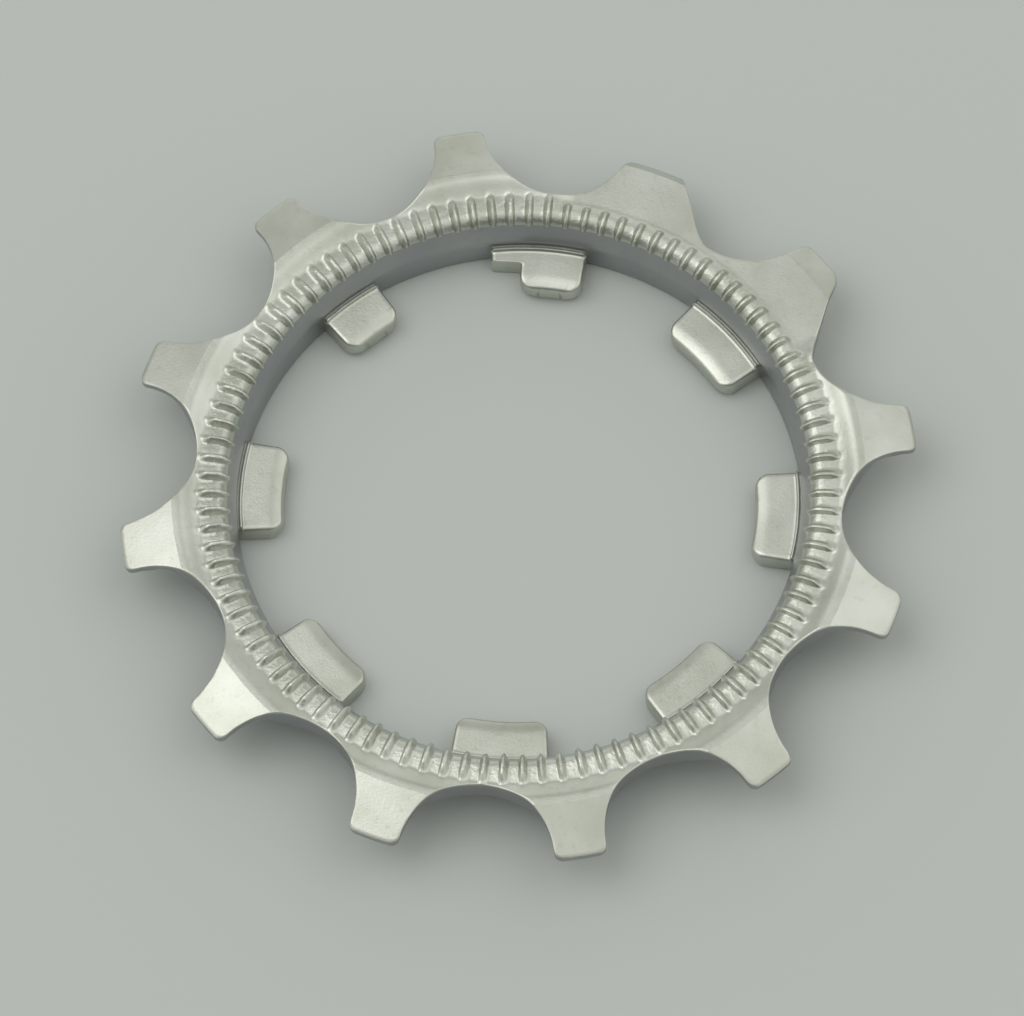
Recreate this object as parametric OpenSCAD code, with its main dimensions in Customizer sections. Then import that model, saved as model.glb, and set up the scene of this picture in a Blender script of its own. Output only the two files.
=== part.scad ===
// First-position cassette sprocket: a one-piece forged steel ring with twelve chain teeth,
// a spacing collar below them, a ratchet face for the lockring and inward spline tabs.
// The ring lies on its collar: z = 0 is the collar's lower edge, +Z is the outer side.

/* [Teeth] */
// Number of chain teeth
teeth = 12; // [12:1:13]
// Pitch of the roller chain
chain_pitch = 12.7; // [12.6:0.05:12.8]
// Height of the tooth tips outside the pitch circle
addendum = 0.965; // [0.7:0.05:1.1]
// Radius of the round gap between two teeth
gap_r = 5; // [4.8:0.1:5.1]
// How far the gap's centre lies outside the pitch circle
gap_shift = 1.145; // [1:0.05:1.3]
// Plan radius of the tooth tip corners
tip_corner_r = 0.55; // [0.3:0.05:0.7]
// Angle of the first tooth from the first spline tab
tooth_phase = 13; // [10:1:16]
// Thickness of a tooth at its tip
tip_t = 0.47; // [0.4:0.05:0.7]
// Drop of the outer tooth face from its bevel line to the tip
tip_drop = 0.99; // [0.7:0.05:1.1]
// Rise of the inner tooth face from the web to the tip
tip_rise = 0.34; // [0.2:0.02:0.4]

/* [Web] */
// Height of the outer face above the collar's lower edge
top_z = 4.86; // [4.7:0.05:5.1]
// Thickness of the toothed web
web_t = 1.8; // [1.7:0.05:1.9]
// Width of the flat band between the seat's shoulder and the bevel line
band_w = 0.65; // [0.4:0.05:0.9]
// Width of the shoulder that falls from the flat band to the ratchet seat
shoulder_w = 0.85; // [0.6:0.05:1]

/* [Ratchet seat] */
// Number of ratchet ridges
ridges = 100; // [96:1:104]
// Angle of the first ridge's crest
ridge_phase = 1.7; // [0:0.1:3.5]
// Height of a ridge above the seat
ridge_h = 0.28; // [0.2:0.02:0.34]
// Width of a ridge's steep clockwise flank
ridge_steep = 0.14; // [0.1:0.02:0.2]
// Width of a ridge's shallow counter-clockwise flank
ridge_shallow = 0.42; // [0.3:0.02:0.5]
// Depth of the seat below the flat band
seat_drop = 0.49; // [0.35:0.02:0.6]
// Outer radius of the seat, at the foot of the shoulder
seat_r = 20.6; // [20.4:0.05:20.7]
// Radius where the seat turns down into the bore
crown_r = 19.35; // [19.2:0.05:19.5]
// Slope of the seat's inner bevel
crown_slope = 37; // [32:1:42]

/* [Collar] */
// Radius of the collar's bore, above the tabs
bore_r = 18.05; // [17.9:0.05:18.2]
// Radius of the flared bore at the seat's inner bevel
mouth_r = 18.62; // [18.5:0.02:18.75]
// Height where the bore starts to flare
flare_z = 2.5; // [2.2:0.1:2.8]
// Outer radius of the collar
collar_r = 19.3; // [19.1:0.05:19.5]
// Chamfer on the collar's lower edges
foot_chamfer = 0.2; // [0.1:0.05:0.3]

/* [Shift pocket] */
// Height of the pocket's floor above the collar's lower edge
pocket_z = 4.15; // [4:0.05:4.3]
// Inner radius of the pocket, which leaves the seat standing
pocket_r = 19.8; // [19.7:0.05:20]
// Share of a tooth pitch that the pocket reaches to each side of its middle gap
pocket_reach = 0.85; // [0.75:0.01:0.9]
// Radius of the pocket's rounded ends
pocket_end_r = 1.4; // [1.2:0.1:1.6]
// Radius where the two shift teeth's chamfers start
ramp_r = 23.7; // [23.4:0.1:23.9]
// Tip radius of the short shift tooth
short_tip_r = 24.42; // [24.2:0.02:24.7]
// Tip radius of the long shift tooth
long_tip_r = 25.35; // [25.1:0.05:25.4]

/* [Spline tabs] */
// Number of spline tabs
tabs = 8; // [8]
// Radius of the tabs' inner ends
tab_r = 15.1; // [14.9:0.05:15.4]
// Thickness of a tab
tab_t = 1.72; // [1.5:0.02:1.9]
// Width of a tab at its inner end
tab_w = 5.65; // [5.3:0.05:5.9]
// How much wider a tab is at its root
tab_flare = 0.6; // [0:0.1:0.8]
// Plan radius of a tab's inner corners
tab_corner_r = 0.8; // [0.4:0.1:1]
// Radius of a tab's rolled inner lip
lip_r = 0.85; // [0.6:0.05:1]
// Depth of the turned band behind the lip
band_drop = 0.08; // [0.04:0.01:0.14]
// Angle from a tab's middle to the side that is cut back on the two keyed tabs
key_angle = 4.2; // [3:0.1:5]
// Inner radius of the cut-back half of the stepped tab
step_r = 17; // [16.8:0.1:17.2]

/* [Hidden] */
$fn = 96;
eps = 0.001;
clear = 2;
pitch_r = chain_pitch / 2 / sin(180 / teeth);
tip_r = pitch_r + addendum;
gap_c = pitch_r + gap_shift;
root_r = gap_c - gap_r;
tooth_a = 360 / teeth;
web_z = top_z - web_t;
seat_z = top_z - seat_drop;
band_r = seat_r + shoulder_w;
bevel_r = band_r + band_w;
tip_z = top_z - tip_drop;
under_r = bevel_r + band_w;
mouth_z = seat_z - (crown_r - mouth_r) * tan(crown_slope);
pocket_mid = tooth_phase + 1.5 * tooth_a;
pocket_half = pocket_reach * tooth_a;
out_r = tip_r + clear;
lip_z = tab_t;
turned_z = tab_t - band_drop;
lip_in = tab_r + lip_r;
stepped_tab = round(tabs / 4);
narrow_tab = stepped_tab + 1;

// Points of an arc about c, from angle a0 to a1
function arc(c, r, a0, a1, n = 6) =
    [for (i = [0:n]) c + r * [cos(a0 + (a1 - a0) * i / n), sin(a0 + (a1 - a0) * i / n)]];

// Half section of the ring: collar, flared bore, seat, shoulder, flat band and tooth bevels
ring_section = [
    [bore_r, foot_chamfer], [bore_r, flare_z], [mouth_r, mouth_z], [crown_r, seat_z],
    [seat_r, seat_z], [band_r - shoulder_w / 4, top_z - seat_drop / 8], [band_r, top_z],
    [bevel_r, top_z], [tip_r, tip_z], [tip_r, tip_z - tip_t],
    [under_r, web_z], [collar_r, web_z], [collar_r, foot_chamfer],
    [collar_r - foot_chamfer, 0], [bore_r + foot_chamfer, 0]];

// Half section of the tab ring: rolled lip, turned band and the ledge at the bore
ledge = 0.15;
tab_section = concat(
    [[tab_r + foot_chamfer, 0], [tab_r, foot_chamfer]],
    arc([lip_in, lip_z - lip_r], lip_r, 180, 90),
    [[lip_in + band_drop, lip_z], [lip_in + 2 * band_drop, turned_z],
    [bore_r - ledge, turned_z], [bore_r - ledge, tab_t + ledge / 2],
    [bore_r, tab_t + ledge], [bore_r + ledge, tab_t + ledge], [bore_r + ledge * 4, foot_chamfer * 2],
    [bore_r + ledge * 4, 0]]);

// A length of ridge along +X: steep clockwise flank, shallow counter-clockwise flank. Both
// flanks go on below the seat by a third of the ridge's height, at the same slopes.
module ridge_bar(length) {
    crest = ridge_steep / 4;
    rotate([90, 0, 90]) linear_extrude(length)
        polygon([[-ridge_steep - (ridge_steep - crest) / 3, -ridge_h / 3], [-crest, ridge_h],
            [crest, ridge_h], [ridge_shallow + (ridge_shallow - crest) / 3, -ridge_h / 3]]);
}

// One ratchet ridge: it runs over the seat, turns down the inner bevel and ends at the bore
module ridge() {
    mitre = ridge_h * tan(crown_slope / 2) / 2;
    bevel_l = (crown_r - mouth_r) / cos(crown_slope);
    translate([crown_r - mitre, 0, seat_z]) ridge_bar(band_r - crown_r);
    translate([crown_r, 0, seat_z]) rotate([0, -crown_slope, 0])
        translate([-bevel_l, 0, 0]) ridge_bar(bevel_l + mitre);
}

// The gap between two teeth, as a round cut centred on +X
module gap_round() {
    translate([gap_c, 0, web_z - clear]) cylinder(r = gap_r, h = web_t + 2 * clear);
}

// The gap on the clockwise side of a shift tooth, whose flank stays as a long slope
module gap_sloped() {
    foot = [root_r + 0.42, 0.95];
    knee = [ramp_r - 0.1, 3.9];
    head = [tip_r - 0.5, 4.6];
    difference() {
        gap_round();
        translate([0, 0, web_z - 2 * clear]) linear_extrude(web_t + 4 * clear)
            polygon([foot, knee, head, [out_r + clear, 5], [out_r + clear, 2 * gap_r],
                [root_r - 1, 2 * gap_r], [root_r - 1, foot[1]]]);
    }
}

// Rounds the tooth corner on the counter-clockwise side of a gap centred on +X
module tip_corner(end_r = tip_r) {
    a = end_r - tip_corner_r;
    b = gap_r + tip_corner_r;
    turn = acos((a * a + gap_c * gap_c - b * b) / (2 * a * gap_c));
    p = a * [cos(turn), sin(turn)];
    g = [gap_c, 0];
    side = (g - p) / b;
    out = [cos(turn), sin(turn)];
    reach = 2 * tip_corner_r;
    translate([0, 0, web_z - clear]) linear_extrude(web_t + 2 * clear) difference() {
        polygon([p, p + reach * out, p + reach * (out + side), p + reach * side]);
        translate(p) circle(r = tip_corner_r);
    }
}

// The pocket that thins the two shift teeth down beside the standing seat
module pocket() {
    h = top_z - pocket_z + clear;
    translate([0, 0, pocket_z]) {
        rotate([0, 0, pocket_mid - pocket_half]) rotate_extrude(angle = 2 * pocket_half)
            polygon([[pocket_r, 0], [out_r, 0], [out_r, h], [pocket_r, h]]);
        for (end = [-1, 1]) rotate([0, 0, pocket_mid + end * pocket_half])
            translate([pocket_r + pocket_end_r, 0, 0]) {
                cylinder(r = pocket_end_r, h = h);
                translate([0, -pocket_end_r, 0]) cube([out_r - pocket_r, 2 * pocket_end_r, h]);
            }
    }
}

// The chamfer on a shift tooth's tip, centred on +X, from the pocket floor to the tooth's end
module shift_chamfer(end_r) {
    end_z = web_z + tip_rise * (end_r - under_r) / (tip_r - under_r);
    rotate([0, 0, -tooth_a / 2]) rotate_extrude(angle = tooth_a)
        polygon([[ramp_r, pocket_z], [end_r, end_z], [end_r, web_z - clear], [out_r, web_z - clear],
            [out_r, top_z + clear], [ramp_r, top_z + clear]]);
}

// Plan of a whole tab along +X, with round inner corners
module tab_plan(low, high) {
    root = bore_r + clear / 2;
    slant = tab_flare / 2 * (root - tab_r) / (bore_r - tab_r);
    linear_extrude(2 * tab_t)
        polygon(concat([[root, low - slant]],
            arc([tab_r + tab_corner_r, low + tab_corner_r], tab_corner_r, 270, 180),
            arc([tab_r + tab_corner_r, high - tab_corner_r], tab_corner_r, 180, 90),
            [[root, high + slant]]));
}

// One spline tab; the two keyed tabs lose part of their counter-clockwise half
module tab(kind) {
    half = tab_w / 2;
    key = tab_r * sin(key_angle);
    rotate([0, 0, -tooth_a / 2]) intersection() {
        rotate_extrude(angle = tooth_a) polygon(tab_section);
        rotate([0, 0, tooth_a / 2]) {
            tab_plan(-half, kind == "whole" ? half : key);
            if (kind == "stepped")
                translate([step_r, 0, 0]) cube([bore_r - step_r + clear / 2, half, 2 * tab_t]);
        }
    }
}

// The whole ring, forged as one piece
module sprocket() color("silver") {
    difference() {
        union() {
            rotate_extrude() polygon(ring_section);
            for (i = [0:ridges - 1]) rotate([0, 0, ridge_phase + i * 360 / ridges]) ridge();
        }
        pocket();
        for (i = [0:teeth - 1]) rotate([0, 0, tooth_phase + (i + 0.5) * tooth_a]) {
            if (i == 0 || i == 1) gap_sloped(); else gap_round();
            if (i != 0 && i != 1) tip_corner();
            mirror([0, 1, 0]) tip_corner(i == 1 ? long_tip_r + eps : tip_r);
        }
        rotate([0, 0, tooth_phase + 2 * tooth_a]) shift_chamfer(short_tip_r);
        rotate([0, 0, tooth_phase + tooth_a]) shift_chamfer(long_tip_r);
    }
    for (i = [0:tabs - 1]) rotate([0, 0, i * 360 / tabs])
        tab(i == stepped_tab ? "stepped" : i == narrow_tab ? "narrow" : "whole");
}

sprocket();
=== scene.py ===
"""First-position cassette sprocket: a toothed ring with its ratchet seat and collar, and eight
spline tabs inside its bore, all one forged and nickel-plated piece of steel, on a plain floor."""

import bpy
import numpy as np
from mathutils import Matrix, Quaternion, Vector


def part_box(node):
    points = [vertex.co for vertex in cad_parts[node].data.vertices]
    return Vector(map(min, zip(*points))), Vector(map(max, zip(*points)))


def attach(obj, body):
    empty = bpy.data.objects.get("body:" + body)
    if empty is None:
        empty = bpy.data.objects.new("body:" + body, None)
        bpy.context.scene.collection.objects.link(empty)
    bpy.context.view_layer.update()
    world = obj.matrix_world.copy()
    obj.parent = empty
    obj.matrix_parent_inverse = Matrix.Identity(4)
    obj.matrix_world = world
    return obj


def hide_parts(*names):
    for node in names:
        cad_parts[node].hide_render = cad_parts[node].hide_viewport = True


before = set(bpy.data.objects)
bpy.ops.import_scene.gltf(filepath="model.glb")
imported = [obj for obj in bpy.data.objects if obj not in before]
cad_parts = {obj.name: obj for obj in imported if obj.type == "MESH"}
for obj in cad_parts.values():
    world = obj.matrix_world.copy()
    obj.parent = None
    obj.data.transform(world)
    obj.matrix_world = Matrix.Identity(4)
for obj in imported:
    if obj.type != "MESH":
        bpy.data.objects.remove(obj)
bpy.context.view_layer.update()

# The toothed ring: forged, with twelve chain teeth whose outer faces are pressed to a cone, a
# ratchet seat of a hundred ridges, and a collar below that keeps it off the next sprocket.
# Sizes are in millimetres, heights above the collar's lower edge, angles in degrees.
MM = 0.001
TOP_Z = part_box("sprocket")[1].z / MM
TEETH = 12
TOOTH_ANGLE = 360 / TEETH
FIRST_TOOTH = 13
CHAIN_PITCH = 12.7
PITCH_R = CHAIN_PITCH / 2 / np.sin(np.radians(180 / TEETH))
TIP_R = PITCH_R + 0.965
GAP_R = 5
GAP_C = PITCH_R + 1.145
CORNER_R = 0.55
WEB_Z = TOP_Z - 2.15
SEAT_Z = TOP_Z - 0.49
SEAT_R = 20.6
BAND_R = 21.45
BEVEL_R = 22.1
UNDER_R = 22.75
TIP_Z = TOP_Z - 0.99
TIP_RISE = 0.69
SHIFT_TEETH = (1, 2)
SHIFT_TIP_R = {1: 25.35, 2: 24.42}
SHIFT_TIP_Z = {1: 3.47, 2: 3.35}
SHIFT_CUT = {1: 0.6, 2: 0.15}
FLANK_BEND = 0.47
FLANK_FOOT, FLANK_KNEE = (21.6, 1.54), (23.5, 3.75)
OUTLINE_POINTS, OUTLINE_BLUR = 9600, 0.07
LENGTH_SHARE = 0.6
POCKET_Z = TOP_Z - 0.71
RAMP_R = 23.7
BORE_R = 18.05
COLLAR_R = 19.3
MOUTH_R, MOUTH_Z = 18.6, 3.8
FLARE_Z = 2.5
FOOT_CHAMFER = 0.2


def polar(radius, degrees):
    """Points (r cos a, r sin a)."""
    a = np.radians(degrees)
    return np.stack([radius * np.cos(a), radius * np.sin(a)], -1)


def ease(x):
    """0 below 0, 1 above 1, and 3 x^2 - 2 x^3 between."""
    x = np.clip(x, 0, 1)
    return x * x * (3 - 2 * x)


def half_gap(tip_r):
    """From the middle of a tooth to the middle of the next gap, which lies on +X: an arc of the tip
    circle, an arc of CORNER_R tangent to it and to the gap, and an arc of GAP_R about (GAP_C, 0)."""
    a, b = tip_r - CORNER_R, GAP_R + CORNER_R
    turn = np.degrees(np.arccos((a * a + GAP_C**2 - b * b) / (2 * a * GAP_C)))
    corner = polar(a, -turn)
    lean = np.degrees(np.arctan2(-corner[1], GAP_C - corner[0]))
    return np.concatenate([
        polar(tip_r, np.linspace(-TOOTH_ANGLE / 2, -turn, 60)),
        corner + polar(CORNER_R, np.linspace(-turn, lean, 40)),
        [GAP_C, 0] + polar(GAP_R, np.linspace(lean + 180, 180, 200)),
    ])


def bent(start, corner, end):
    """A curve from start to end, tangent to the lines to the corner between them."""
    t = np.linspace(0, 1, 40)[:, None]
    return start * (1 - t) ** 2 + corner * 2 * t * (1 - t) + end * t**2


def sloped_half(tip_r, cut):
    """From the middle of a gap on +X to the middle of a shift tooth: a curved foot, a long straight
    flank over knee, a corner rounded over a length of cut, and an arc of the tip circle."""
    bottom, bend = np.array([GAP_C - GAP_R, 0]), np.array([GAP_C - GAP_R, FLANK_BEND])
    foot, knee, run = np.array(FLANK_FOOT), np.array(FLANK_KNEE), np.array([1, 1]) / np.sqrt(2)
    meet = knee + run * (np.sqrt((knee @ run) ** 2 + tip_r**2 - knee @ knee) - knee @ run)
    turn = np.degrees(np.arctan2(meet[1], meet[0]))
    after = turn + np.degrees(cut / tip_r)
    along = np.linspace(0, 1, 60)[:, None]
    return np.concatenate([
        bent(bottom, bend, foot),
        foot + (knee - foot) * along,
        knee + (meet - run * cut - knee) * along,
        bent(meet - run * cut, meet, polar(tip_r, after)),
        polar(tip_r, np.linspace(after, TOOTH_ANGLE / 2, 60)),
    ])


def turned(points, degrees):
    """Points turned about the axis."""
    a = np.radians(degrees)
    return points @ np.array([[np.cos(a), np.sin(a)], [-np.sin(a), np.cos(a)]])


def evened(points, count):
    """A closed line cut to equal steps, then softened by a Gaussian of OUTLINE_BLUR along it."""
    closed = np.vstack([points, points[:1]])
    steps = np.hypot(*np.diff(closed, axis=0).T)
    along = np.concatenate([[0], np.cumsum(steps)])
    at = np.arange(count) * along[-1] / count
    even = np.stack([np.interp(at, along, closed[:, i]) for i in (0, 1)], -1)
    reach = np.minimum(np.arange(count), count - np.arange(count)) * along[-1] / count
    bell = np.exp(-((reach / OUTLINE_BLUR) ** 2) / 2)
    bell /= bell.sum()
    return np.fft.irfft(np.fft.rfft(even, axis=0) * np.fft.rfft(bell)[:, None], count, axis=0)


def tooth_outline(angles):
    """Plan of the teeth, one point for each of these angles. The place along the outline is part
    length and part angle within each tooth pitch, so that steep flanks get their share of points."""
    parts = []
    for i in range(TEETH):
        start = half_gap(SHIFT_TIP_R.get(i, TIP_R))
        end = half_gap(SHIFT_TIP_R.get(i + 1, TIP_R))[::-1] * [1, -1]
        if i + 1 in SHIFT_TEETH:
            end = sloped_half(SHIFT_TIP_R[i + 1], SHIFT_CUT[i + 1])
        parts.append(turned(np.vstack([start, end]), FIRST_TOOTH + (i + 0.5) * TOOTH_ANGLE))
    line = evened(np.vstack(parts), OUTLINE_POINTS)
    swing = np.degrees(np.unwrap(np.arctan2(line[:, 1], line[:, 0]))) - FIRST_TOOTH
    pitch = np.clip(np.floor(swing / TOOTH_ANGLE), 0, TEETH - 1)
    along = np.arange(len(line), dtype=float)
    first = np.searchsorted(pitch, np.arange(TEETH + 1))
    share = (along - first[pitch.astype(int)]) / np.diff(first)[pitch.astype(int)]
    place = FIRST_TOOTH + LENGTH_SHARE * TOOTH_ANGLE * (pitch + share) + (1 - LENGTH_SHARE) * swing
    return np.stack([np.interp(angles, place, line[:, i], period=360) for i in (0, 1)], -1)


# Columns of the grid run outwards: thirteen to a ridge, close together at the ridge's steep flank,
# and evenly spread by the time they reach the teeth. The ridges are placed as if their die had
# stood 0.11 mm off the axis, up to 0.66 degrees clockwise of their even places.
RIDGES = 100
RIDGE_ANGLE = 360 / RIDGES
RIDGE_PHASE = 1.7
RIDGE_H = 0.39
RIDGE_SHIFT = 0.33
STEEP, STEEP_WIDER = 0.2, 0.1
SHALLOW, SHALLOW_NARROWER = 0.46, 0.12
CROWN = 0.1
VALLEY_RISE = 0.16
MOUTH_OFFSET, MOUTH_LOWER = 0.06, 0.2
PLACE_SPREAD, WIDTH_SPREAD, HEIGHT_SPREAD = 0.05, 0.03, 0.07
ridge_steps = np.array([-0.9, -0.66, -0.52, -0.38, -0.22, -0.08, 0.08, 0.3, 0.6, 0.9, 1.15, 1.4, 1.95])
even_steps = np.arange(len(ridge_steps)) * RIDGE_ANGLE / len(ridge_steps)
even_steps += ridge_steps.mean() - even_steps.mean()
crests = RIDGE_PHASE + RIDGE_ANGLE * np.arange(RIDGES)[:, None]
rng = np.random.default_rng(12)
ridge_noise = rng.normal(size=(3, RIDGES))


def ridge_shift(angles):
    """How far a ridge lies from its even place, RIDGE_SHIFT (sin a - 1) degrees."""
    return RIDGE_SHIFT * (np.sin(np.radians(angles)) - 1)


seat_angles = (crests + ridge_shift(crests) + ridge_steps).ravel()
even_angles = (crests + even_steps).ravel()
edge_points = tooth_outline(even_angles)
edge_r = np.hypot(*edge_points.T)
edge_swing = np.degrees(np.arctan2(edge_points[:, 1], edge_points[:, 0])) - even_angles
edge_angles = even_angles + (edge_swing + 180) % 360 - 180


def ridge_profile(angles, radius, mouth):
    """Height of the ratchet ridges, from 0 to 1: from each crest a steep flank falls clockwise and
    a shallow flank counter-clockwise, and the valley floor rises slowly to the next ridge. Towards
    the mouth, where mouth is 1, a ridge turns into a narrower, more even tongue. Each ridge is a
    little off in place, height and width. A ridge's own stretch runs from 0.3 of a ridge angle
    before its crest to 0.7 after it."""
    turns = (angles - ridge_shift(angles) - RIDGE_PHASE) / RIDGE_ANGLE
    index = np.round(turns - 0.2).astype(int) % RIDGES
    off = (turns - np.round(turns - 0.2)) * RIDGE_ANGLE
    off = np.radians(off - PLACE_SPREAD * ridge_noise[0][index]) * radius - MOUTH_OFFSET * mouth
    steep = STEEP + STEEP_WIDER * mouth
    shallow = SHALLOW - SHALLOW_NARROWER * mouth + WIDTH_SPREAD * ridge_noise[1][index]
    pitch = np.radians(RIDGE_ANGLE) * radius
    down = np.clip((off - CROWN) / (shallow - CROWN), 0, 1)
    start = VALLEY_RISE * (1 - mouth)
    valley = start * np.clip((off - shallow) / (pitch - shallow - steep), 0, 1)
    rise = np.where(off < 0, start + (1 - start) * ease(1 + off / steep), 1 - ease(down) + valley)
    return rise * (1 + HEIGHT_SPREAD * ridge_noise[2][index]) * (1 - MOUTH_LOWER * mouth)


# The pocket beside the two shift teeth, the shoulder between seat and band, and the ends of the
# ridges, which stop shorter at the pocket.
POCKET_IN_R, POCKET_STEP = 19.5, 0.85
POCKET_START, POCKET_END, POCKET_RUN = 28.5, 87.5, 4
SHOULDER_SPREAD, SHOULDER_STRAIGHT = 0.15, 0.6
RIDGE_END_R, RIDGE_FADE, POCKET_SHORTER = 20.75, 0.95, 0.65


def pocket_share(angles, radius):
    """1 inside the pocket beside the shift teeth, 0 outside, with soft ends and a round inner step."""
    across = ease((radius - POCKET_IN_R) / POCKET_STEP)
    swing = (angles + 180) % 360 - 180
    return across * ease((swing - POCKET_START) / POCKET_RUN) * ease((POCKET_END - swing) / POCKET_RUN)


def top_height(angles, radius):
    """Height of the outer face: seat, shoulder, flat band and tooth cone, with the ridges fading out
    on the seat, and the pocket and tip chamfers cut in."""
    rise = np.clip((radius - SEAT_R + SHOULDER_SPREAD) / (BAND_R - SEAT_R + 2 * SHOULDER_SPREAD), 0, 1)
    rise = SHOULDER_STRAIGHT * rise + (1 - SHOULDER_STRAIGHT) * ease(rise)
    cone = TOP_Z - (TOP_Z - TIP_Z) * (radius - BEVEL_R) / (TIP_R - BEVEL_R)
    plain = np.minimum(SEAT_Z + (TOP_Z - SEAT_Z) * rise, cone)
    share = pocket_share(angles, radius)
    height = plain + (np.minimum(POCKET_Z, plain) - plain) * share
    fade = ease((RIDGE_END_R - POCKET_SHORTER * share - radius) / RIDGE_FADE)
    height = height + RIDGE_H * ridge_profile(angles, radius, 0) * fade
    swing = (angles - FIRST_TOOTH + 180) % 360 - 180
    for tooth in SHIFT_TEETH:
        end_r, end_z = SHIFT_TIP_R[tooth], SHIFT_TIP_Z[tooth]
        ramp = POCKET_Z - (POCKET_Z - end_z) * (radius - RAMP_R) / (end_r - RAMP_R)
        near = np.abs(swing - tooth * TOOTH_ANGLE) < TOOTH_ANGLE / 2
        height = np.where(near & (radius > RAMP_R), np.minimum(height, ramp), height)
    return height


def under_height(radius):
    """Height of the inner face, flat near the collar and rising towards the tooth tips."""
    return WEB_Z + TIP_RISE * np.clip((radius - UNDER_R) / (TIP_R - UNDER_R), 0, None)


# The faces roll over to their edges, and the teeth are undercut to a thin edge.
EDGE_COLUMNS = 45
FAR_OFF = 9.0
ROLL, ROLL_LESS = 0.14, 0.08
ROLL_START_R, ROLL_RUN = 21.4, 1.2
THIN_EDGE, LEAST_UNDERCUT = 0.5, 0.03
UNDERCUT_START_R, UNDERCUT_RUN = 20.9, 2.2


def edge_distance(points):
    """Plan distance from grid points to the outline, the least over the pieces of outline within
    EDGE_COLUMNS columns of each point."""
    best = np.full(points.shape[:-1], FAR_OFF)
    for shift in range(-EDGE_COLUMNS, EDGE_COLUMNS):
        a = np.roll(edge_points, shift, axis=0)
        run = np.roll(edge_points, shift - 1, axis=0) - a
        share = np.clip(((points - a) * run).sum(-1) / (run * run).sum(-1), 0, 1)
        gap = points - a - run * share[..., None]
        best = np.minimum(best, np.hypot(gap[..., 0], gap[..., 1]))
    return best


def rolled(distance, radius):
    """Fall of the face where it rolls over to an edge: a quarter circle, wider beside the gaps than
    on the teeth."""
    size = ROLL - ROLL_LESS * ease((radius - ROLL_START_R) / ROLL_RUN)
    into = np.clip(size - distance, 0, None)
    return size - np.sqrt(size * size - into * into)


def flank_rows(top):
    """Rows from the outer edge of the outer face down to the web's underside: a full wall at the gap
    bottoms, but on the teeth only a thin edge with an undercut at 45 degrees below it."""
    full = top - under_height(edge_r)
    share = ease((edge_r - UNDERCUT_START_R) / UNDERCUT_RUN)
    depth = full - LEAST_UNDERCUT + (np.minimum(THIN_EDGE, full) - full) * share
    along = np.roll(edge_points, -1, axis=0) - np.roll(edge_points, 1, axis=0)
    inward = np.stack([-along[:, 1], along[:, 0]], -1) / np.hypot(*along.T)[:, None]
    rows = [(edge_r, edge_angles, top - depth * s) for s in (0.3, 0.7, 1)]
    for s in (0.5, 1):
        plan = edge_points + inward * (full - depth)[:, None] * s
        swing = np.degrees(np.arctan2(plan[:, 1], plan[:, 0])) - even_angles
        angles = even_angles + (swing + 180) % 360 - 180
        rows.append((np.hypot(*plan.T), angles, top - depth - (full - depth) * s))
    return rows


# The ridges turn down over a round of SEAT_ROUND into the bore's mouth, to MOUTH_LEAN off level.
# The outer face stays LEAST_WEB or more above the web's underside.
SEAT_ROUND, SEAT_ROUND_R = 0.85, 19.41
MOUTH_LEAN = 62.5
MOUTH_RIDGE_R = 19.0
LEAST_WEB = 0.06


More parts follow.
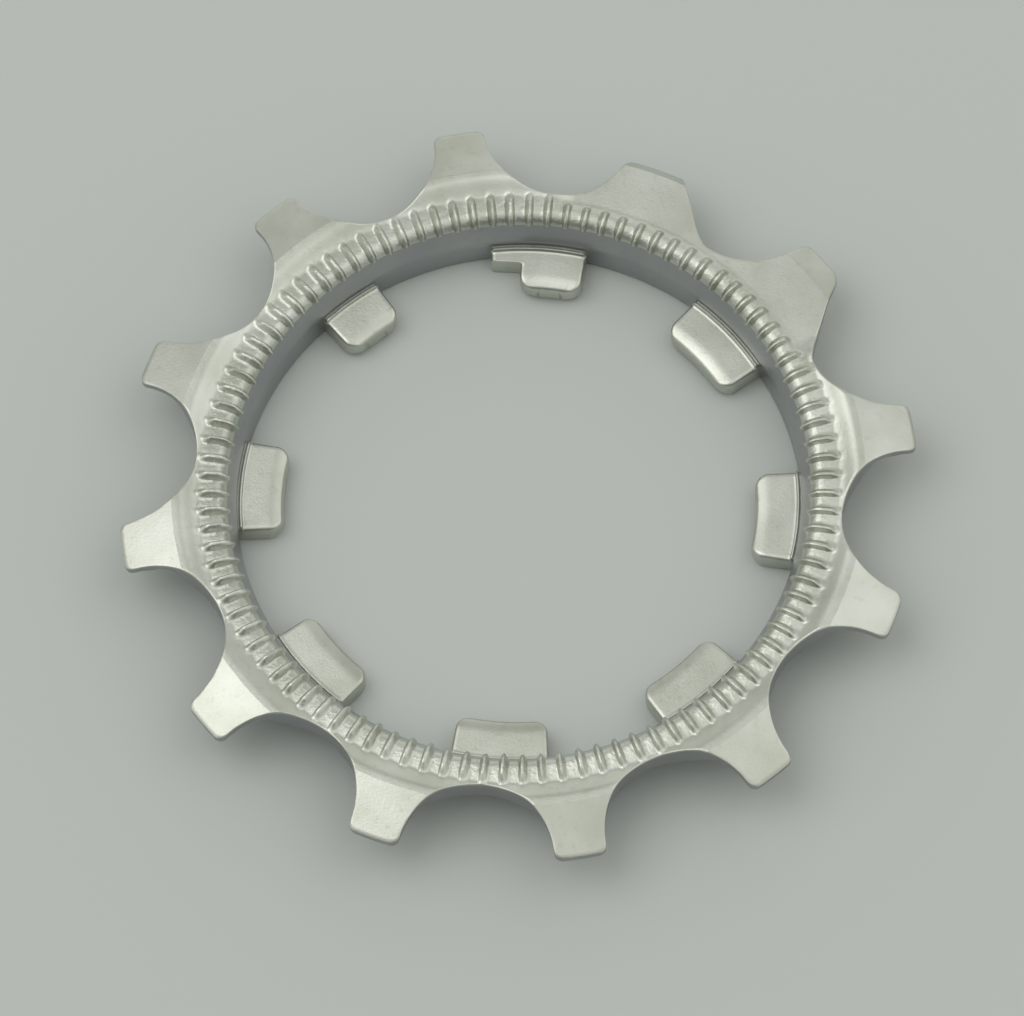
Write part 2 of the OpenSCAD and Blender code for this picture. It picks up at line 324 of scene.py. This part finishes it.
def ring_rows():
    """Rows of the ring's closed skin, from the bore's mouth over the outer face to the tooth edge,
    back under the web, down the collar and up the bore. Each row has one point for each column."""
    rows = []
    for lean in np.linspace(MOUTH_LEAN, 0, 9):
        a = np.radians(lean)
        rise = RIDGE_H * ridge_profile(seat_angles, MOUTH_RIDGE_R, (lean / MOUTH_LEAN) ** 2)
        radius = SEAT_ROUND_R - (SEAT_ROUND + rise) * np.sin(a)
        rows.append((radius, seat_angles, SEAT_Z - SEAT_ROUND + (SEAT_ROUND + rise) * np.cos(a)))
    flat = [(np.full_like(seat_angles, r), seat_angles) for r in
            (19.52, 19.62, 19.72, 19.82, 19.92, 20.02, 20.13, 20.24, 20.36, 20.48, SEAT_R)]
    reach = edge_r - SEAT_R
    # rows along the bevel and the ramp, or short of the edge where a gap cuts these off
    first = np.minimum((BEVEL_R - SEAT_R) / reach, 0.86)
    second = np.minimum((RAMP_R - SEAT_R) / reach, 0.93)
    shares = [first * v for v in (0.12, 0.25, 0.38, 0.5, 0.62, 0.75, 0.87, 0.975, 1)]
    shares += [first + (second - first) * v for v in (0.03, 0.25, 0.5, 0.75, 0.97, 1)]
    shares += [second + (1 - second) * v for v in (0.03, 0.18, 0.35, 0.52, 0.7, 0.85, 0.95, 1)]
    flat += [(SEAT_R + reach * s, seat_angles + (edge_angles - seat_angles) * s**1.5) for s in shares]
    radius, angles = np.array([f[0] for f in flat]), np.array([f[1] for f in flat])
    fall = rolled(edge_distance(polar(radius, angles)), radius)
    height = np.maximum(top_height(angles, radius) - fall, under_height(radius) + LEAST_WEB)
    rows += list(zip(radius, angles, height)) + flank_rows(height[-1])
    from_r, from_angles, _ = rows[-1]
    for s in (0.12, 0.3, 0.55, 0.8, 1):
        radius = from_r + (COLLAR_R - from_r) * s
        rows.append((radius, from_angles + (even_angles - from_angles) * s, under_height(radius)))
    collar = [(COLLAR_R, 2.4), (COLLAR_R, 1.2), (COLLAR_R, FOOT_CHAMFER), (COLLAR_R - FOOT_CHAMFER, 0),
              (18.7, 0), (BORE_R + FOOT_CHAMFER, 0), (BORE_R, FOOT_CHAMFER), (BORE_R, 1), (BORE_R, 1.8),
              (BORE_R, FLARE_Z - 0.1), (BORE_R + 0.05, FLARE_Z + 0.1), (18.25, 3), (18.42, 3.4),
              (MOUTH_R, MOUTH_Z)]
    for i, (radius, z) in enumerate(collar):
        mixed = even_angles + (seat_angles - even_angles) * (i + 1) / len(collar)
        rows.append((np.full_like(mixed, radius), mixed, np.full_like(mixed, z)))
    return np.array(rows).transpose(0, 2, 1)


def closed_grid(name, rows):
    """A mesh from rows of (radius, angle, height), joined both ways round, in metres, smooth but for
    edges over 38 degrees."""
    count, columns = rows.shape[:2]
    plan = polar(rows[..., 0], rows[..., 1])
    points = np.concatenate([plan, rows[..., 2:]], -1) * MM
    index = np.arange(count * columns).reshape(count, columns)
    ahead, beside = np.roll(index, -1, 0), np.roll(index, -1, 1)
    faces = np.stack([index, ahead, np.roll(ahead, -1, 1), beside], -1).reshape(-1, 4)
    mesh = bpy.data.meshes.new(name)
    mesh.from_pydata(points.reshape(-1, 3), [], faces)
    mesh.shade_smooth()
    mesh.set_sharp_from_angle(angle=np.radians(38))
    made = bpy.data.objects.new(name, mesh)
    bpy.context.scene.collection.objects.link(made)
    return made


rows = ring_rows()
ring = closed_grid("toothed_ring", rows)
# The first 43 rows are the outer face. All others but the last step, which joins the bore's mouth to
# the seat, are walls and the underside.
FACE_ROWS = 43
below = np.arange(len(rows)) >= FACE_ROWS - 1
below[-1] = False
# Material 1, the darker steel with painted shade, goes on these wall and underside faces.
ring.data.polygons.foreach_set("material_index", np.repeat(below, rows.shape[1]).astype(np.int32))


def linear(hex_colour):
    """An sRGB colour such as #C8C8C0 as linear red, green, blue and 1."""
    c = np.array([int(hex_colour[i : i + 2], 16) / 255 for i in (1, 3, 5)])
    c = np.where(c <= 0.04045, c / 12.92, ((c + 0.055) / 1.055) ** 2.4)
    return (*c, 1)


def node(tree, kind, links=(), **settings):
    """A new node with its settings; links are (input, output socket or value) pairs."""
    made = tree.nodes.new(kind)
    for key, value in settings.items():
        setattr(made, key, value)
    for key, value in links:
        if isinstance(value, bpy.types.NodeSocket):
            tree.links.new(value, made.inputs[key])
        else:
            made.inputs[key].default_value = value
    return made


def steel_material(name, pale, dull, rough_low, rough_high, dented):
    """Forged carbon steel under a thin satin nickel plate: metallic, a little warm, with a fine
    grain that blurs its reflections, small pits, and a duller film in patches. The seat, as far out
    as 20 mm from the axis, has dents of 0.2 mm from its die, with a bump strength of dented."""
    material = bpy.data.materials.new(name)
    material.use_nodes = True
    tree = material.node_tree
    tree.nodes.clear()
    place = node(tree, "ShaderNodeTexCoord").outputs["Object"]
    # film patches are about 4 mm across, specks 0.5 mm, the grain 0.12 mm and pits 0.3 mm
    film = node(tree, "ShaderNodeTexNoise", [("Vector", place), ("Scale", 250), ("Detail", 4)])
    specks = node(tree, "ShaderNodeTexNoise", [("Vector", place), ("Scale", 2000), ("Detail", 3)])
    grain = node(tree, "ShaderNodeTexNoise", [("Vector", place), ("Scale", 8000), ("Detail", 2)])
    pits = node(tree, "ShaderNodeTexVoronoi", [("Vector", place), ("Scale", 3200)])
    patch = node(tree, "ShaderNodeMapRange", [
        ("Value", film.outputs[0]), ("From Min", 0.35), ("From Max", 0.7)])
    dark = node(tree, "ShaderNodeMapRange", [
        ("Value", specks.outputs[0]), ("From Min", 0.6), ("From Max", 0.75), ("To Max", 0.5)])
    spread = node(tree, "ShaderNodeMath", [(0, patch.outputs[0]), (1, dark.outputs[0])], operation="ADD")
    tint = node(tree, "ShaderNodeMix", [
        ("Factor", spread.outputs[0]), ("A", linear(pale)), ("B", linear(dull))], data_type="RGBA")
    flat = node(tree, "ShaderNodeVectorMath", [(0, place), (1, (1, 1, 0))], operation="MULTIPLY")
    reach = node(tree, "ShaderNodeVectorMath", [(0, flat.outputs[0])], operation="LENGTH")
    seat = node(tree, "ShaderNodeMapRange", [
        ("Value", reach.outputs["Value"]), ("From Min", 0.0198), ("From Max", 0.0206),
        ("To Min", dented), ("To Max", 0.04)])
    dents = node(tree, "ShaderNodeTexNoise", [("Vector", place), ("Scale", 4500), ("Detail", 2)])
    rough = node(tree, "ShaderNodeMapRange", [
        ("Value", grain.outputs[0]), ("To Min", rough_low), ("To Max", rough_high)])
    pit = node(tree, "ShaderNodeMapRange", [("Value", pits.outputs["Distance"]), ("From Max", 0.25)])
    first = node(tree, "ShaderNodeBump", [
        ("Height", grain.outputs[0]), ("Strength", 0.3), ("Distance", 0.00003)])
    second = node(tree, "ShaderNodeBump", [
        ("Height", pit.outputs[0]), ("Strength", 0.1), ("Distance", 0.00003),
        ("Normal", first.outputs[0])])
    third = node(tree, "ShaderNodeBump", [
        ("Height", dents.outputs[0]), ("Strength", seat.outputs[0]), ("Distance", 0.0001),
        ("Normal", second.outputs[0])])
    shader = node(tree, "ShaderNodeBsdfPrincipled", [
        ("Base Color", tint.outputs["Result"]), ("Metallic", 1), ("Roughness", rough.outputs[0]),
        ("Normal", third.outputs[0])])
    node(tree, "ShaderNodeOutputMaterial", [("Surface", shader.outputs[0])])
    return material


# The faces have the full satin plate. The walls, underside, collar and bore get a darker, bluer copy of
# the steel: painted shade, standing for the shaded floor and the dark low surround that these faces
# reflect.
steel = steel_material("satin_nickel_plated_steel", "#D2D5CC", "#C1C4B8", 0.28, 0.42, 0.3)
shaded_wall_steel = steel_material("steel_with_painted_shade", "#AEB0B1", "#A4A6AA", 0.3, 0.4, 0.04)
ring.data.materials.append(steel)
ring.data.materials.append(shaded_wall_steel)
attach(ring, "root")
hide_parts("sprocket")

# The eight spline tabs that ride on the hub's splines: forged with the ring, with a nose that falls
# away to a small front radius, a flat top, and a narrow bright ledge where they leave the bore wall.
# The tab at 90 degrees has a step and the one at 135 is narrow, so the ring fits the hub one way.
TABS = 8
TAB_R = 15.1
TAB_Z = 1.72
FRONT_R = 0.22
NOSE = 1
NOSE_FALL = 0.2
FOOT_RISE = 0.4
LEDGE_R = 17.74
LEDGE_TOP, LEDGE_DROP = 0.12, 0.7
LEDGE_H = 0.24
TAB_HALF = 5.65 / 2
TAB_CORNER_R = 0.95
TAB_SPREAD = 0.3
UPPER_ROLL, LOWER_ROLL = 0.2, 0.3
STEP_RUN = 0.3
KEY_ANGLE = 4.2
KEY_SIDE = TAB_R * np.sin(np.radians(KEY_ANGLE))
STEP_R = 17


def tab_section():
    """Section of a tab as (radius, height) points, from the root's foot to the nose and back over
    the top: the same radii below and above. The nose falls by NOSE_FALL x^2 over its length and
    ends in a quarter circle of FRONT_R; below it the foot rises by FOOT_RISE towards the front. The
    ledge rises steeply by LEDGE_H and drops by a share of it behind its top."""
    turn = np.radians(np.linspace(0, 90, 8))
    radii = np.concatenate([
        [18.5, 18.2, 18.1, 18.02, LEDGE_R + 0.2, LEDGE_R + LEDGE_TOP, LEDGE_R + 0.04, LEDGE_R],
        [LEDGE_R - 0.04, 17.55, 17.3, 17.16, 17.08, STEP_R, 16.92, 16.84],
        [16.6, 16.3, 16.1, 15.95, 15.8, 15.65, 15.5],
        TAB_R + FRONT_R * (1 - np.sin(turn))])
    nose = NOSE_FALL * np.clip((TAB_R + NOSE - radii) / NOSE, 0, 1) ** 2
    front = FRONT_R - np.sqrt(FRONT_R**2 - np.clip(TAB_R + FRONT_R - radii, 0, FRONT_R) ** 2)
    behind = ease((radii - LEDGE_R - LEDGE_TOP) / 0.1)
    ledge = LEDGE_H * (ease((radii - LEDGE_R + 0.01) / 0.05) - LEDGE_DROP * behind)
    foot = FOOT_RISE * ease((TAB_R + NOSE - radii) / NOSE)
    upper = np.stack([radii, TAB_Z - nose - front + ledge], -1)
    return np.concatenate([np.stack([radii, foot], -1), upper[::-1]])


def tab_points(kind):
    """A closed tab on +X: the section carried across the tab between its two sides, whose places
    narrow at the round corners by r - sqrt(r^2 - x^2), with a rolled edge along each side."""
    radius, height = tab_section().T
    root = np.clip((radius - TAB_R) / (BORE_R - TAB_R), 0, 1.2)
    into = np.clip(TAB_CORNER_R - (radius - TAB_R), 0, TAB_CORNER_R)
    corner = TAB_CORNER_R - np.sqrt(TAB_CORNER_R**2 - into**2)
    low = -TAB_HALF - TAB_SPREAD * root + corner
    high = TAB_HALF + TAB_SPREAD * root - corner
    if kind == "narrow":
        high = KEY_SIDE - corner
    if kind == "stepped":
        step = ease((radius - STEP_R + STEP_RUN / 2) / STEP_RUN)
        high = KEY_SIDE - corner + (TAB_HALF + TAB_SPREAD * root - KEY_SIDE) * step
    share = (1 - np.cos(np.linspace(0, np.pi, 28))) / 2
    across = low + (high - low) * share[:, None]
    side = np.clip(np.minimum(across - low, high - across), 0, None)
    upper = np.arange(len(height)) >= len(height) // 2
    size = np.where(upper, UPPER_ROLL, LOWER_ROLL)
    left = np.clip(size - side, 0, None)
    fall = size - np.sqrt(size**2 - left**2)
    z = np.where(upper, height - fall, height + fall)
    return np.stack([np.sqrt(radius**2 - across**2), across, z], -1)


def tabs_mesh():
    """All tabs in one mesh. Each is a grid closed round its section at the root and closed at its
    two sides by strips that join the section's upper points to its lower ones."""
    points, faces, start = [], [], 0
    kinds = {2: "stepped", 3: "narrow"}
    for i in range(TABS):
        grid = tab_points(kinds.get(i, "whole"))
        across, around = grid.shape[:2]
        plan = turned(grid[..., :2].reshape(-1, 2), i * 360 / TABS)
        points.append(np.column_stack([plan, grid[..., 2].ravel()]))
        index = np.arange(across * around).reshape(across, around) + start
        a, b = index[:-1], index[1:]
        faces.append(np.stack([a, np.roll(a, -1, 1), np.roll(b, -1, 1), b], -1).reshape(-1, 4))
        half = around // 2
        for row, order in ((index[0], 1), (index[-1], -1)):
            lower, upper = row[:half], row[::-1][:half]
            strip = np.stack([lower[:-1], upper[:-1], upper[1:], lower[1:]], -1)
            faces.append(strip[:, ::order])
        start += across * around
    mesh = bpy.data.meshes.new("spline_tabs")
    mesh.from_pydata(np.vstack(points) * MM, [], np.vstack(faces))
    mesh.shade_smooth()
    mesh.set_sharp_from_angle(angle=np.radians(50))
    made = bpy.data.objects.new("spline_tabs", mesh)
    bpy.context.scene.collection.objects.link(made)
    return made


spline_tabs = tabs_mesh()
# The tabs' plate is rubbed by the hub, so it is a little smoother and has hardly any dents.
tab_steel = steel_material("rubbed_nickel_plated_steel", "#D2D5CC", "#BCBFB2", 0.26, 0.4, 0.04)
spline_tabs.data.materials.append(tab_steel)
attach(spline_tabs, "root")
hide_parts("sprocket")

# The floor is a plain pale grey-green sheet under the collar.
FLOOR_HALF = 2
floor_mesh = bpy.data.meshes.new("floor")
floor_corners = [(x * FLOOR_HALF, y * FLOOR_HALF, 0) for x, y in ((-1, -1), (1, -1), (1, 1), (-1, 1))]
floor_mesh.from_pydata(floor_corners, [], [(0, 1, 2, 3)])
floor = bpy.data.objects.new("floor", floor_mesh)
bpy.context.scene.collection.objects.link(floor)
paper = bpy.data.materials.new("matt_paper")
paper.use_nodes = True
paper_shader = paper.node_tree.nodes["Principled BSDF"]
paper_shader.inputs["Base Color"].default_value = linear("#C5CAC6")
paper_shader.inputs["Roughness"].default_value = 0.9
floor_mesh.materials.append(paper)

# Soft studio light: a large lamp high on the left of the view, a weaker one on the right, and a
# pale surround that darkens low down on the camera's side and is brightest at the far horizon.
world = bpy.data.worlds.new("surround")
bpy.context.scene.world = world
world.use_nodes = True
way = node(world.node_tree, "ShaderNodeTexCoord").outputs["Object"]
parts = node(world.node_tree, "ShaderNodeSeparateXYZ", [("Vector", way)])
near = node(world.node_tree, "ShaderNodeMapRange", [
    ("Value", parts.outputs["Y"]), ("From Min", -0.95), ("From Max", -0.4), ("To Min", 0.2),
    ("To Max", 1)], interpolation_type="SMOOTHSTEP")
far = node(world.node_tree, "ShaderNodeMapRange", [
    ("Value", parts.outputs["Y"]), ("From Min", 0), ("From Max", 0.42), ("To Min", 0.76),
    ("To Max", 0.46)], interpolation_type="SMOOTHSTEP")
horizon = node(world.node_tree, "ShaderNodeMapRange", [
    ("Value", parts.outputs["Y"]), ("From Min", 0.62), ("From Max", 1), ("To Min", 1),
    ("To Max", 2)], interpolation_type="SMOOTHSTEP")
sides = node(world.node_tree, "ShaderNodeMath", [(0, near.outputs[0]), (1, far.outputs[0])],
             operation="MULTIPLY")
level = node(world.node_tree, "ShaderNodeMath", [(0, sides.outputs[0]), (1, horizon.outputs[0])],
             operation="MULTIPLY")
background = world.node_tree.nodes["Background"]
background.inputs["Color"].default_value = linear("#FDFFFA")
world.node_tree.links.new(level.outputs[0], background.inputs["Strength"])
bpy.context.scene.view_settings.view_transform = "Standard"


def soft_lamp(name, azimuth, tilt, distance, size, power):
    """A square area lamp that faces the ring from this azimuth and tilt off the vertical."""
    data = bpy.data.lights.new(name, "AREA")
    data.size = size
    data.energy = power
    made = bpy.data.objects.new(name, data)
    a, t = np.radians(azimuth), np.radians(tilt)
    back = Vector((np.cos(a) * np.sin(t), np.sin(a) * np.sin(t), np.cos(t)))
    made.location = back * distance
    made.rotation_mode = "QUATERNION"
    made.rotation_quaternion = back.to_track_quat("Z", "Y")
    bpy.context.scene.collection.objects.link(made)


soft_lamp("key_lamp", 168, 28, 0.8, 0.6, 1.22)
soft_lamp("side_lamp", 31, 36, 0.8, 0.6, 0.62)

# The camera looks down at 66 degrees through a long lens, from a little to the right.
VIEW_AIM = Vector((-0.306, -1.45, 3.87)) * MM
VIEW_DISTANCE = 0.48174
VIEW_AZIMUTH, VIEW_ELEVATION, VIEW_ROLL = np.radians((-82.47, 66.205, -3.724))
view_back = Vector((
    np.cos(VIEW_AZIMUTH) * np.cos(VIEW_ELEVATION),
    np.sin(VIEW_AZIMUTH) * np.cos(VIEW_ELEVATION),
    np.sin(VIEW_ELEVATION),
))
camera_data = bpy.data.cameras.new("camera")
camera_data.lens = 266.39
camera_data.sensor_width = 36
camera = bpy.data.objects.new("camera", camera_data)
camera.location = VIEW_AIM + view_back * VIEW_DISTANCE
camera.rotation_mode = "QUATERNION"
camera.rotation_quaternion = view_back.to_track_quat("Z", "Y") @ Quaternion((0, 0, 1), VIEW_ROLL)
bpy.context.scene.collection.objects.link(camera)
bpy.context.scene.camera = camera
